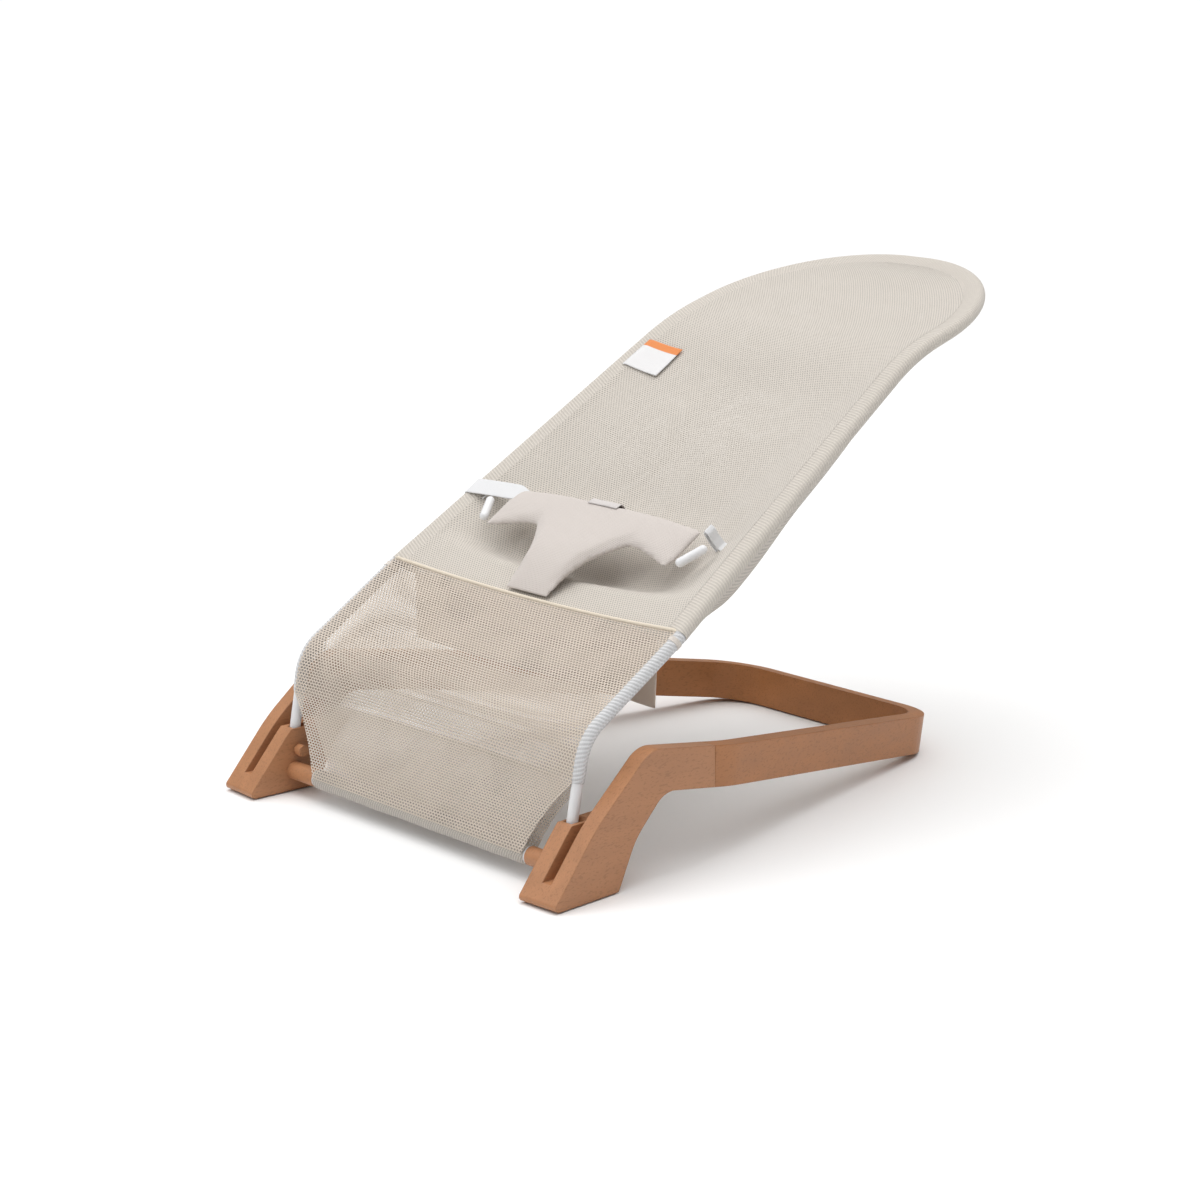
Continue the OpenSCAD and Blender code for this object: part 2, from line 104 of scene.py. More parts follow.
class BouncerSizes(bpy.types.PropertyGroup):
    """Sizes of the soft parts."""

    seat_sag: FloatProperty(name="Seat sag", description="How far the top layer sags between the rails",
                            default=22 * MM, unit="LENGTH")
    belly_sag: FloatProperty(name="Belly sag", description="How far the under layer hangs below the rails",
                             default=52 * MM, unit="LENGTH")
    pad_thickness: FloatProperty(name="Pad thickness", description="Thickness of the padded harness",
                                 default=11 * MM, unit="LENGTH")
    webbing_width: FloatProperty(name="Webbing width", description="Width of the side webbing",
                                 default=25 * MM, unit="LENGTH")
    knit_pitch: FloatProperty(name="Knit pitch", description="Distance between holes across the open knit",
                              default=3.8 * MM, unit="LENGTH")
    label_width: FloatProperty(name="Label width", description="Width of the blank care label",
                               default=43 * MM, unit="LENGTH")


class BouncerColours(bpy.types.PropertyGroup):
    """Colours, as linear red, green and blue."""

    beech: FloatVectorProperty(name="Beech", description="Lacquered beech", subtype="COLOR",
                               default=(0.465, 0.218, 0.104))
    knit: FloatVectorProperty(name="Knit", description="Beige knitted mesh", subtype="COLOR",
                              default=(0.622, 0.574, 0.515))
    pad: FloatVectorProperty(name="Pad", description="Smoother knit of the harness", subtype="COLOR",
                             default=(0.64, 0.583, 0.545))
    # Light beige of the flap's cloth, partly raised as painted light because the flap hangs in shade behind
    # the front.
    plain: FloatVectorProperty(name="Plain cloth", description="Cloth of the flap", subtype="COLOR",
                               default=(0.80, 0.69, 0.60))
    white: FloatVectorProperty(name="White", description="White webbing, tube and plastic", subtype="COLOR",
                               default=(0.84, 0.84, 0.85))
    band: FloatVectorProperty(name="Label band", description="Band on the care label", subtype="COLOR",
                              default=(0.83, 0.27, 0.07))


# ---- shader nodes ----


class Wire:
    """A node's output. Sums, products and powers of wires add Math nodes."""

    def __init__(self, finish, socket):
        self.finish = finish
        self.socket = socket

    def _math(self, operation, *values):
        inputs = dict(enumerate(values))
        return self.finish.node("Math", {"operation": operation}, inputs)

    def __add__(self, other):
        return self._math("ADD", self, other)

    def __radd__(self, other):
        return self._math("ADD", other, self)

    def __sub__(self, other):
        return self._math("SUBTRACT", self, other)

    def __rsub__(self, other):
        return self._math("SUBTRACT", other, self)

    def __mul__(self, other):
        return self._math("MULTIPLY", self, other)

    def __rmul__(self, other):
        return self._math("MULTIPLY", other, self)

    def __truediv__(self, other):
        return self._math("DIVIDE", self, other)

    def __pow__(self, other):
        return self._math("POWER", self, other)

    def floor(self):
        return self._math("FLOOR", self)

    def fract(self):
        return self._math("FRACT", self)

    def sin(self):
        return self._math("SINE", self)

    def clamp(self):
        return self.finish.node("Clamp", {}, {0: self})


class Finish:
    """A material with one Principled shader. Fixed values go straight onto the shader's sockets."""

    def __init__(self, name, **fixed):
        self.material = bpy.data.materials.new(name)
        self.material.use_nodes = True
        self.tree = self.material.node_tree
        self.shader = self.tree.nodes["Principled BSDF"]
        for key, value in fixed.items():
            self.set(key.replace("_", " ").title().replace("Ior", "IOR"), value)

    def node(self, kind, settings, inputs, output=0):
        """Adds a node: its settings first, then the values or links of its sockets."""
        made = self.tree.nodes.new("ShaderNode" + kind)
        for key, value in settings.items():
            setattr(made, key, value)
        for key, value in inputs.items():
            self.join(made.inputs[key], value)
        return Wire(self, made.outputs[output])

    def join(self, socket, value):
        if isinstance(value, Wire):
            self.tree.links.new(value.socket, socket)
        else:
            socket.default_value = value

    def set(self, name, value):
        self.join(self.shader.inputs[name], value)

    def blend(self, factor, low, high):
        """Colour between low and high."""
        rgba = [c if isinstance(c, Wire) else (*c, 1) for c in (low, high)]
        return self.node("Mix", {"data_type": "RGBA"}, {0: factor, 6: rgba[0], 7: rgba[1]}, 2)

    def place(self, stretch=(1, 1, 1)):
        """Object coordinates, stretched."""
        here = self.node("TexCoord", {}, {}, "Object")
        return self.node("Mapping", {}, {0: here, 3: stretch})

    def noise(self, scale, stretch=(1, 1, 1), detail=3.0, at=None):
        vector = at if at is not None else self.place(stretch)
        return self.node("TexNoise", {}, {"Vector": vector, "Scale": scale, "Detail": detail})

    def weave(self):
        """Distances across and along the cloth, in metres, from the piece's own map."""
        spot = self.node("UVMap", {"uv_map": "weave"}, {})
        across = self.node("SeparateXYZ", {}, {0: spot}, 0)
        along = self.node("SeparateXYZ", {}, {0: spot}, 1)
        return across, along

    def bump(self, height, strength, distance, softened=None):
        inputs = {"Height": height, "Strength": strength, "Distance": distance}
        if softened is not None:
            inputs["Normal"] = softened
        self.set("Normal", self.node("Bump", {}, inputs))


def shade(colour, factor):
    return tuple(c * factor for c in colour)


def beech_finish(name, colour, grain=(1.0, 0.16, 1.0)):
    """Lacquered beech: slow bands along the grain, then short dark flecks."""
    f = Finish(name, roughness=0.42, specular_ior_level=0.4)
    bands = f.noise(70, grain, 4)
    cloud = f.noise(9, (1, 0.5, 1), 2)
    flecks = ((f.noise(620, (1, 0.34, 1), 2) - 0.54) * 9).clamp()
    tone = f.blend((bands - 0.3) * 1.7, shade(colour, 0.86), shade(colour, 1.12))
    tone = f.blend(cloud * 0.35, tone, shade(colour, 0.94))
    tone = f.blend(flecks * 0.34, tone, shade(colour, 0.5))
    f.set("Base Color", tone)
    f.set("Roughness", bands * 0.14 + 0.34)
    soft_edge = f.node("Bevel", {"samples": 4}, {"Radius": 1.4 * MM})
    f.bump(flecks * -0.5 + bands * 0.4, 0.22, 0.3 * MM, soft_edge)
    return f.material


def knit_finish(name, colour, across, along, hole, openness, depth=0.55, patch_shade=0.0):
    """Knitted mesh: staggered rows of oval holes between rounded ribs.

    Painted shade darkens the inside of each hole by depth. In patches the holes line up with the layer
    behind, and painted shade darkens them further.
    """
    f = Finish(name, roughness=0.88, specular_ior_level=0.25, sheen_weight=0.25, sheen_roughness=0.5)
    u, v = f.weave()
    row = v / along
    stagger = (row.floor() * 0.5).fract()
    side = (u / across + stagger).fract() - 0.5
    end = row.fract() - 0.5
    reach = (side * side * 4.0 + end * end * 4.0) ** 0.5
    inside = ((hole - reach) * 5.0 + 0.5).clamp()
    slack = f.noise(26, (1, 1, 1), 2)
    thread = f.noise(900, (1, 1, 1), 2)
    # Painted shade: noise patches where the holes look into the shade behind the cloth.
    shade_patches = ((f.noise(24, (1, 1, 0.6), 1) - 0.52) * 9.0).clamp()
    # Painted shade: the inside of each hole is darkened by depth, as the shade seen through it.
    tone = f.blend(inside * depth, colour, shade(colour, 0.52))
    # Painted shade: in these patches the holes are darkened almost to black.
    tone = f.blend(inside * shade_patches * (0.85 * patch_shade), tone, shade(colour, 0.2))
    tone = f.blend(thread * 0.22, tone, shade(colour, 0.8))
    f.set("Base Color", tone)
    f.set("Alpha", 1.0 - inside * openness * (slack * 0.9 + 0.5).clamp())
    f.bump(reach.clamp() + thread * 0.3, 0.6, 0.5 * MM)
    return f.material


def rib_finish(name, colour, pitch, lean=0.35, dark=0.66):
    """Ribbed edge: cords across the piece, a little on the slant, with painted shade in the grooves between
    them.
    """
    f = Finish(name, roughness=0.85, specular_ior_level=0.25, sheen_weight=0.2, sheen_roughness=0.5)
    u, v = f.weave()
    wave = ((v + u * lean) * (2 * math.pi / pitch)).sin() * 0.5 + 0.5
    stitch = (u * (2 * math.pi / (1.9 * MM))).sin() * 0.5 + 0.5
    cord = wave * 0.8 + stitch * 0.2
    # Painted shade: the grooves between the cords are darkened by the factor dark.
    f.set("Base Color", f.blend(cord, shade(colour, dark), colour))
    f.bump(cord, 0.8, 0.7 * MM)
    return f.material


def woven_finish(name, colour, pitch, gloss=0.8, band=None, band_from=0.0):
    """Plain weave of flat threads, with a coloured band past band_from along the piece."""
    f = Finish(name, roughness=gloss, specular_ior_level=0.3, sheen_weight=0.15, sheen_roughness=0.5)
    u, v = f.weave()
    warp = (u * (2 * math.pi / pitch)).sin()
    weft = (v * (2 * math.pi / pitch)).sin()
    thread = warp * weft * 0.5 + 0.5
    tone = f.blend(thread, shade(colour, 0.88), colour)
    if band is not None:
        inside = ((v - band_from) * 4000.0 + 0.5).clamp()
        tone = f.blend(inside, tone, f.blend(thread, shade(band, 0.85), band))
    f.set("Base Color", tone)
    f.bump(thread + f.noise(60, (1, 1, 1), 2) * 0.8, 0.35, 0.35 * MM)
    return f.material


def painted_finish(name, colour, roughness, peel):
    """Powder coat or moulded plastic: a fine skin over an even colour."""
    f = Finish(name, roughness=roughness, specular_ior_level=0.5)
    skin = f.noise(peel, (1, 1, 1), 3)
    f.set("Base Color", f.blend(f.noise(30, (1, 1, 1), 2) * 0.3, colour, shade(colour, 0.93)))
    f.set("Roughness", skin * 0.15 + (roughness - 0.07))
    f.bump(skin, 0.12, 0.2 * MM)
    return f.material


def steel_finish(name):
    """Zinc plated steel with turning marks."""
    f = Finish(name, metallic=1.0, roughness=0.35)
    marks = f.noise(400, (1, 0.1, 0.1), 2)
    f.set("Base Color", f.blend(marks, (0.42, 0.43, 0.45), (0.62, 0.63, 0.66)))
    f.set("Roughness", marks * 0.2 + 0.28)
    return f.material


def rubber_finish(name, colour):
    f = Finish(name, roughness=0.85, specular_ior_level=0.3)
    grit = f.noise(900, (1, 1, 1), 2)
    f.set("Base Color", f.blend(grit, shade(colour, 0.75), shade(colour, 1.35)))
    f.bump(grit, 0.3, 0.3 * MM)
    return f.material


FINISHES = {}


def make_finishes():
    c = bpy.context.scene.bouncer_colours
    pitch = bpy.context.scene.bouncer_sizes.knit_pitch
    beech, knit, pad = tuple(c.beech), tuple(c.knit), tuple(c.pad)
    plain, white = tuple(c.plain), tuple(c.white)
    FINISHES.update(
        beech=beech_finish("beech_leg", beech),
        bow=beech_finish("beech_bow", (beech[0] * 0.93, beech[1] * 0.82, beech[2] * 0.62), (0.35, 0.35, 1.0)),
        pale=beech_finish("beech_turned", shade(beech, 1.1), (0.16, 1.0, 1.0)),
        # The depth values (0.55, 0.4, 0.3) set the painted shade inside the holes; the open knit's last value
        # turns on painted shade patches.
        open_knit=knit_finish("open_knit", (knit[0], knit[1] * 0.94, knit[2] * 0.89),
                              pitch, 2.7 * MM, 0.66, 0.85, 0.55, 1.0),
        fine_knit=knit_finish("fine_knit", knit, 3.0 * MM, 2.3 * MM, 0.5, 0.42, 0.4),
        pad_knit=knit_finish("pad_knit", pad, 1.9 * MM, 1.6 * MM, 0.35, 0.0, 0.3),
        ribs=rib_finish("ribbed_edge", shade(knit, 1.06), 3.2 * MM, 0.35, 0.8),
        white_ribs=rib_finish("white_ribbed_edge", shade(white, 0.86), 3.6 * MM, 0.35, 0.74),
        hem=rib_finish("ribbed_hem", shade(knit, 0.95), 3.0 * MM, 0.6, 0.62),
        plain=woven_finish("plain_cloth", plain, 0.8 * MM),
        binding=woven_finish("cord_binding", (0.80, 0.71, 0.58), 1.1 * MM),
        webbing=woven_finish("white_webbing", shade(white, 0.93), 1.2 * MM, 0.6),
        label=woven_finish("label_tape", (0.84, 0.83, 0.83), 0.7 * MM, 0.55, tuple(c.band), LABEL_BAND),
        tag=woven_finish("tag_tape", (0.66, 0.62, 0.60), 0.8 * MM),
        coat=painted_finish("white_coat", shade(white, 0.92), 0.38, 700),
        plastic=painted_finish("white_plastic", (0.82, 0.82, 0.83), 0.32, 300),
        steel=steel_finish("plated_steel"),
        rubber=rubber_finish("rubber", (0.06, 0.056, 0.056)),
        collar=rubber_finish("pale_rubber", (0.62, 0.57, 0.52)),
    )


CAD_FINISHES = {
    "beech": ["left_leg", "right_leg"],
    "bow": ["rear_bow"],
    "pale": ["left_boss", "right_boss", "left_clamp_knob", "right_clamp_knob"],
    "coat": ["crossbar", "left_lower_tube", "right_lower_tube", "seat_hoop"],
    "plastic": ["left_toggle", "right_toggle"],
    "steel": ["joint_screws", "cross_shaft", "left_tube_eye", "right_tube_eye", "left_flex_joint",
              "right_flex_joint", "left_clamp_stud", "right_clamp_stud"],
    "rubber": ["left_foot_pad", "right_foot_pad", "rear_pads"],
    "collar": ["flex_collars"],
}


# ---- shapes ----


def unit(v):
    return v / np.linalg.norm(v, axis=-1, keepdims=True)


def evenly(path, step):
    """The same path with points a step apart, measured along it."""
    reach = np.concatenate([[0], np.cumsum(np.linalg.norm(np.diff(path, axis=0), axis=1))])
    marks = np.linspace(0, reach[-1], max(int(round(reach[-1] / step)), 2) + 1)
    return np.stack([np.interp(marks, reach, path[:, k]) for k in range(3)], 1), marks


def rounded_path(corners, radii, step=3 * MM):
    """Straight runs joined by circular arcs, one radius for each inner corner, evenly spaced."""
    corners = np.asarray(corners, float)
    runs = unit(np.diff(corners, axis=0))
    points = [corners[:1]]
    for before, after, corner, radius in zip(runs[:-1], runs[1:], corners[1:-1], radii, strict=True):
        turn = math.acos(np.clip(before @ after, -1, 1))
        centre = corner + unit(after - before) * radius / math.cos(turn / 2)
        first = corner - before * radius * math.tan(turn / 2)
        angle = np.linspace(0, turn, 40)[:, None]
        points.append(centre + np.cos(angle) * (first - centre) + np.sin(angle) * before * radius)
    points.append(corners[-1:])
    return evenly(np.concatenate(points), step)


def add_mesh(name, points, weave, closed=False):
    """A grid of points as a mesh. weave holds each point's distances across and along the cloth.

    A closed grid joins its last column to its first, and its weave has one more column.
    """
    rows, columns = points.shape[:2]
    index = np.arange(rows * columns).reshape(rows, columns)
    if closed:
        index = np.hstack([index, index[:, :1]])
    at = np.arange(weave.shape[0] * weave.shape[1]).reshape(weave.shape[:2])
    faces, marks = (np.stack([g[:-1, :-1], g[:-1, 1:], g[1:, 1:], g[1:, :-1]], -1).reshape(-1, 4)
                    for g in (index, at))
    mesh = bpy.data.meshes.new(name)
    mesh.from_pydata(points.reshape(-1, 3).tolist(), [], faces.tolist())
    layer = mesh.uv_layers.new(name="weave")
    layer.data.foreach_set("uv", weave.reshape(-1, 2)[marks.reshape(-1)].astype(np.float32).reshape(-1))
    mesh.polygons.foreach_set("use_smooth", np.ones(len(mesh.polygons), bool))
    piece = bpy.data.objects.new(name, mesh)
    bpy.context.scene.collection.objects.link(piece)
    return piece


def tidy(piece, merge=0.0):
    """Merges doubles, closes open ends that are left and turns the faces outwards."""
    work = bmesh.new()
    work.from_mesh(piece.data)
    if merge:
        bmesh.ops.remove_doubles(work, verts=work.verts, dist=merge)
    bmesh.ops.holes_fill(work, edges=[e for e in work.edges if e.is_boundary], sides=0)
    bmesh.ops.recalc_face_normals(work, faces=work.faces)
    work.to_mesh(piece.data)
    work.free()


def dress(piece, finish, slot, body, *nodes):
    piece.data.materials.clear()
    piece.data.materials.append(FINISHES[finish])
    if nodes:
        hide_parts(*nodes)
    if body:
        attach(piece, body)
    return piece


def modifier(piece, kind, **settings):
    added = piece.modifiers.new(kind.lower(), kind)
    for key, value in settings.items():
        setattr(added, key, value)
    return added


def area_of(points):
    """Area of a grid of points, from the cross products of its cells' diagonals."""
    one = points[1:, 1:] - points[:-1, :-1]
    other = points[1:, :-1] - points[:-1, 1:]
    return float(np.linalg.norm(np.cross(one, other), axis=-1).sum() / 2)


def lower_rail():
    """Centre line of the right lower tube from the sleeve's end over the knee to the seam."""
    foot = np.array([0, math.sin(FOOT_LEAN), math.cos(FOOT_LEAN)])
    low = PIVOT + foot * (SLEEVE_END_Z - PIVOT[2]) / foot[2]
    gap = SEAM - low
    turn = foot[1] * RAIL_ALONG[2] - foot[2] * RAIL_ALONG[1]
    knee = low + foot * (gap[1] * RAIL_ALONG[2] - gap[2] * RAIL_ALONG[1]) / turn
    corners = np.array([low, knee, SEAM])
    corners[:, 0] = TUBE_X
    path, reach = rounded_path(corners, [KNEE_R])
    along = unit(np.gradient(path, axis=0))
    up = np.stack([0 * reach, -along[:, 2], along[:, 1]], 1)
    return path, along, up, np.cross(along, up), reach


def hoop_line():
    """Centre line of the whole hoop from the right seam round the head to the left seam."""
    seam = np.array([TUBE_X, SEAM[1], SEAM[2]])
    neck = np.array([NECK_X, SEAM[1] + NECK_RUN, SEAM[2] + NECK_RUN * math.tan(RAIL_TILT)])
    head_y = HOOP_HIGH[1] - TUBE_R
    head = np.array([HEAD_X, head_y, neck[2] + (head_y - neck[1]) * math.tan(HEAD_TILT)])
    flip = np.array([-1, 1, 1])
    path, reach = rounded_path([seam, neck, head, head * flip, neck * flip, seam * flip],
                               [NECK_R, HEAD_R, HEAD_R, NECK_R])
    along = unit(np.gradient(path, axis=0))
    half_bend = NECK_R * math.tan((RAIL_TILT - HEAD_TILT) / 2)
    tilt = np.interp(path[:, 1], [neck[1] - half_bend, neck[1] + half_bend], [RAIL_TILT, HEAD_TILT])
    up = np.stack([0 * tilt, -np.sin(tilt), np.cos(tilt)], 1)
    return path, along, up, unit(np.cross(along, up)), reach


def tube_grid(path, up, out, reach, radius, sides=28):
    """Circle of the given radius carried along a path, and its weave map."""
    angle = np.linspace(0, 2 * math.pi, sides, endpoint=False)
    radius = np.broadcast_to(radius, len(path))[:, None, None]
    ring = np.cos(angle)[None, :, None] * out[:, None] + np.sin(angle)[None, :, None] * up[:, None]
    wide = np.linspace(0, 2 * math.pi, sides + 1) * float(radius.mean())
    weave = np.stack(np.broadcast_arrays(wide[None, :], reach[:, None]), -1)
    return path[:, None] + radius * ring, weave


def smooth_curve(x, marks, values):
    """Cosine steps from value to value."""
    i = np.clip(np.searchsorted(marks, x, side="right") - 1, 0, len(marks) - 2)
    marks, values = np.asarray(marks, float), np.asarray(values, float)
    t = np.clip((x - marks[i]) / (marks[i + 1] - marks[i]), 0, 1)
    return values[i] + (values[i + 1] - values[i]) * (1 - np.cos(math.pi * t)) / 2


def seat_sag(s):
    """Sag of the top layer along the seat, deepest in the pocket behind the harness."""
    depth = bpy.context.scene.bouncer_sizes.seat_sag
    marks = [0, 32, 66, 130, 290, 430, 600]
    return depth * smooth_curve(s / MM, marks, [0.4, 0.46, 1.65, 1.5, 1.0, 0.42, 0])


def belly_sag(s):
    """Sag of the under layer, fullest behind the harness."""
    depth = bpy.context.scene.bouncer_sizes.belly_sag
    marks = [0, 40, 100, 210, 390, 500, 600]
    return depth * smooth_curve(s / MM, marks, [0.2, 0.85, 1.12, 0.95, 0.62, 0.3, 0])


def folds(x, s):
    """Soft folds that fan out from the middle of the harness and fade up the back."""
    angle = np.arctan2(x, s + 60 * MM)
    fan = np.cos(angle * 17 + 1.2) * 0.7 + np.cos(angle * 29 + s * 9) * 0.3
    return 2.6 * MM * fan * np.exp(-((s / MM - 225) / 125) ** 2)


def layer_grid(edge, up, s, sag, power, ripple=None, columns=120):
    """Cloth from the right edge to its mirror image, sagging as 1 - |w| ** power across."""
    w = np.linspace(-1, 1, columns)
    points = np.repeat(edge[:, None], columns, 1)
    points[..., 0] *= w
    drop = sag[:, None] * (1 - np.abs(w) ** power)
    if ripple is not None:
        drop = drop + ripple(points[..., 0], s[:, None] + 0 * w) * (1 - w**4)
    points -= drop[..., None] * up[:, None]
    weave = np.stack(np.broadcast_arrays(points[..., 0], s[:, None]), -1)
    return points, weave


def on_tube(path, up, out, angle):
    """Line along a sleeve at the given angle from its outer side."""
    return path + SLEEVE_R * (math.cos(angle) * out + math.sin(angle) * up)


def seat_point(x, s, n):
    """Point at x across, s along the rails from the seam, and n above them."""
    x, s, n = np.broadcast_arrays(x, s, n)
    point = SEAM + s[..., None] * RAIL_ALONG + n[..., None] * RAIL_UP
    point[..., 0] = x
    return point


def rail_x(s):
    """Half width between the rails' centres."""
    return TUBE_X + (NECK_X - TUBE_X) * s / (NECK_RUN / math.cos(RAIL_TILT))


# ---- pieces ----


def wrap_grid(path, up, out, reach):
    """Cloth wrapped round a tube: a flat strip, the tube's outer half and a short strip below.

    The section runs in from STRIP at the top, follows a circle and ends under the tube.
    """
    turn = np.linspace(math.radians(96), math.radians(-105), 26)
    across = np.concatenate([np.linspace(-STRIP, -2 * MM, 8), SLEEVE_R * np.cos(turn), [-7 * MM]])
    rise = np.concatenate([SLEEVE_R + np.linspace(-2.2, -0.05, 8) * MM, SLEEVE_R * np.sin(turn), [-6.4 * MM]])
    points = path[:, None] + across[None, :, None] * out[:, None] + rise[None, :, None] * up[:, None]
    wide = np.concatenate([[0], np.cumsum(np.hypot(np.diff(across), np.diff(rise)))])
    return points, np.stack(np.broadcast_arrays(wide[None, :], reach[:, None]), -1)


def make_hoop_sleeve():
    path, _, up, out, reach = hoop_line()
    points, weave = wrap_grid(path, up, out, reach)
    piece = add_mesh("hoop_sleeve", points, weave)
    dress(piece, "ribs", "mesh_cloth", "seat_upper")
    wide = float(weave[..., 0].max())
    min(area_of(points), wide * float(reach[-1]))


def make_seat_cover():
    path, _, up, out, reach = hoop_line()
    half = int(np.searchsorted(-path[:, 0], -8 * MM))
    s = reach[:half]
    edge = (path - STRIP * out + (SLEEVE_R - 2 * MM) * up)[:half]
    top, weave = layer_grid(edge, up[:half], s, seat_sag(s), SAG_POWER, folds)
    cover = add_mesh("seat_cover", top, weave)
    dress(cover, "fine_knit", "mesh_cloth", "seat_upper", "sling")
    wide = 2 * float(top[..., 0].max())
    min(area_of(top), wide * float(s[-1]) * 1.02)
    edge = (path - 6.5 * MM * out - 6.3 * MM * up)[:half]
    below, weave = layer_grid(edge, up[:half], s, belly_sag(s), BELLY_POWER, folds)
    belly = add_mesh("seat_underlayer", below, weave)
    dress(belly, "fine_knit", "mesh_cloth", "seat_upper", "sling")
    area_of(below)


def front_edges(angle, hem_side):
    """Right edge of a front layer: down the tube at the given angle, then free to the hem."""
    path, _, up, out, _ = lower_rail()
    on_rail = on_tube(path, up, out, angle)[::-1]
    hem_r = (HEM_HIGH[2] - HEM_LOW[2]) / 2
    hem = np.array([HEM_HIGH[0] - 1 * MM, PIVOT[1] + hem_side * hem_r * 0.93, PIVOT[2] + hem_r * 0.3])
    t = np.linspace(0, 1, 30)[1:, None]
    free = on_rail[-1] + (hem - on_rail[-1]) * t
    free[:, 0] -= 5 * MM * np.sin(math.pi * t[:, 0])
    edge, reach = evenly(np.concatenate([on_rail, free]), 2.5 * MM)
    along = unit(np.gradient(edge, axis=0))
    normal = unit(np.stack([0 * reach, along[:, 2], -along[:, 1]], 1))
    return edge, normal, reach


def make_front_cover():
    edge, normal, reach = front_edges(math.radians(97), -1)
    whole = reach[-1]
    sag = 9 * MM * np.sin(math.pi * np.clip(reach / whole, 0, 1)) + SEAM_SAG * np.exp(-reach / (30 * MM))
    points, weave = layer_grid(edge, normal, -reach, sag, SAG_POWER)
    front = add_mesh("front_panel_cloth", points, weave)
    dress(front, "open_knit", "mesh_cloth", "seat_lower", "front_panel")
    wide = 2 * float(points[..., 0].max())
    min(area_of(points), wide * float(whole) * 1.01)
    edge, normal, reach = front_edges(math.radians(-80), 1)
    sag = 15 * MM * np.sin(math.pi * np.clip(reach / reach[-1], 0, 1)) ** 1.5
    points, weave = layer_grid(edge, normal, -reach, sag, 3.0)
    back = add_mesh("front_return_cloth", points, weave)
    dress(back, "open_knit", "mesh_cloth", "seat_lower", "front_panel")
    min(area_of(points), wide * float(reach[-1]) * 1.1)


def make_front_sleeves():
    path, _, up, out, reach = lower_rail()
    radius = SLEEVE_R - 0.1 * MM - 0.7 * MM * np.exp(-reach / (2.5 * MM))
    for side, name in ((1, "right"), (-1, "left")):
        flip = np.array([side, 1, 1])
        points, weave = tube_grid(path * flip, up, out * flip, reach, radius)
        piece = add_mesh(f"{name}_front_sleeve", points, weave, closed=True)
        dress(piece, "white_ribs", "mesh_cloth", "seat_lower", "front_panel")


def make_hem():
    """Ribbed tube of cloth round the crossbar, gathered a little and turned in at its ends."""
    middle = (HEM_LOW + HEM_HIGH) / 2
    radius = (HEM_HIGH[2] - HEM_LOW[2]) / 2
    x = np.linspace(HEM_LOW[0], HEM_HIGH[0], 180)
    end = np.minimum(x - x[0], x[-1] - x)
    swell = 0.88 * radius * (1 + 0.02 * np.sin(x / (13 * MM))) - 0.5 * MM * np.exp(-end / (1.6 * MM))
    path = np.stack([x, 0 * x + middle[1], 0 * x + middle[2]], 1)
    up = np.tile([0.0, 0.0, 1.0], (len(x), 1))
    out = np.tile([0.0, 1.0, 0.0], (len(x), 1))
    points, weave = tube_grid(path, up, out, x - x[0], swell, 40)
    piece = add_mesh("hem_cloth", points, weave, closed=True)
    dress(piece, "hem", "mesh_cloth", "seat_lower", "hem_sleeve")


def make_binding():
    """Cord along the cross seam that follows the cloth's sag, with turned-down ends."""
    x = np.linspace(-TUBE_X, TUBE_X, 160)
    w = x / TUBE_X
    n = SLEEVE_R + 0.4 * MM - SEAM_SAG * (1 - np.abs(w) ** SAG_POWER)
    n = n - 120 * MM * np.clip(np.abs(w) - 0.975, 0, 1)
    path = seat_point(x, 0 * x, n)
    up = np.tile(RAIL_UP, (len(x), 1))
    out = np.tile(RAIL_ALONG, (len(x), 1))
    radius = 1.6 * MM * (1 + 0.05 * np.sin(x / (2.2 * MM)))
    points, weave = tube_grid(path, up, out, x - x[0], radius, 16)
    piece = add_mesh("seam_cord", points, weave, closed=True)
    tidy(piece)
    dress(piece, "binding", "binding", "seat_lower", "seam_binding")


def make_flap():
    """Cloth that hangs from the seam: a plane with slow waves that grow downwards."""
    x = np.linspace(FLAP_LOW[0], FLAP_HIGH[0], 90)[None, :]
    drop = np.linspace(0, 1, 24)[:, None]
    top = SEAM[2] - 7 * MM
    z = top + (FLAP_LOW[2] - top) * drop + 0 * x
    y = SEAM[1] + (2.2 * MM * np.sin(x / (31 * MM)) + 1.2 * MM * np.sin(x / (17 * MM) + 1)) * drop
    points = np.stack(np.broadcast_arrays(x, y, z), -1)
    weave = np.stack(np.broadcast_arrays(x, z), -1)
    piece = add_mesh("under_flap_cloth", points, weave)
    modifier(piece, "SOLIDIFY", thickness=0.9 * MM, offset=0)
    dress(piece, "plain", "plain_cloth", "seat_lower", "under_flap")


PAD_HALF = 124 * MM
STRAP_HALF = 29 * MM


def harness_edges(x):
    """Lower and upper edge of the T-shaped pad, along the rails, at x across."""
    far = np.abs(x)
    corner = np.clip((far - STRAP_HALF) / (34 * MM), 0, 1)
    end = np.clip((far - 60 * MM) / (64 * MM), 0, 1)
    low = 1.5 * MM + 75 * MM * corner**0.42 - 12 * MM * end**2
    high = 122 * MM - 5 * MM * (x / PAD_HALF) ** 2
    return low, high


def harness_rise(x, s):
    """Height of the pad's middle above the rails: it lifts off the seam and droops at both ends."""
    lift = np.clip(s / (62 * MM), 0, 1)
    return -3.5 * MM + 13 * MM * np.sin(lift * math.pi / 2) - 3 * MM * (x / PAD_HALF) ** 2


